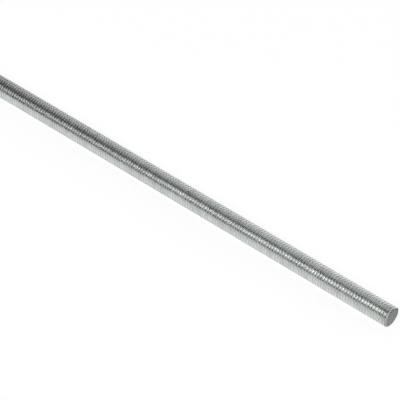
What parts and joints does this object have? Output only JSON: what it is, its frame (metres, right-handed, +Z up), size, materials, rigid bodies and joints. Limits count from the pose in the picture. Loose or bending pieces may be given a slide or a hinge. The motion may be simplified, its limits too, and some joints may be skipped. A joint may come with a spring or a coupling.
{
  "type": "threaded rod",
  "caption": "Straight steel rod with a screw thread along its whole length and square-cut ends, cut and held with nuts to hang, space or clamp things.",
  "frame": {"origin": "on the rod's axis, midway between its two end faces", "axes": "+X along the rod's axis towards the end that is near the viewer in the picture; Y and Z are across it, +Z up as the rod lies level"},
  "size_m": [0.3, 0.01, 0.01],
  "materials": {
    "zinc_plated_steel": "bright zinc plate over rolled steel"
  },
  "bodies": {
    "root": {"threaded_rod": "zinc_plated_steel"}
  },
  "joints": []
}
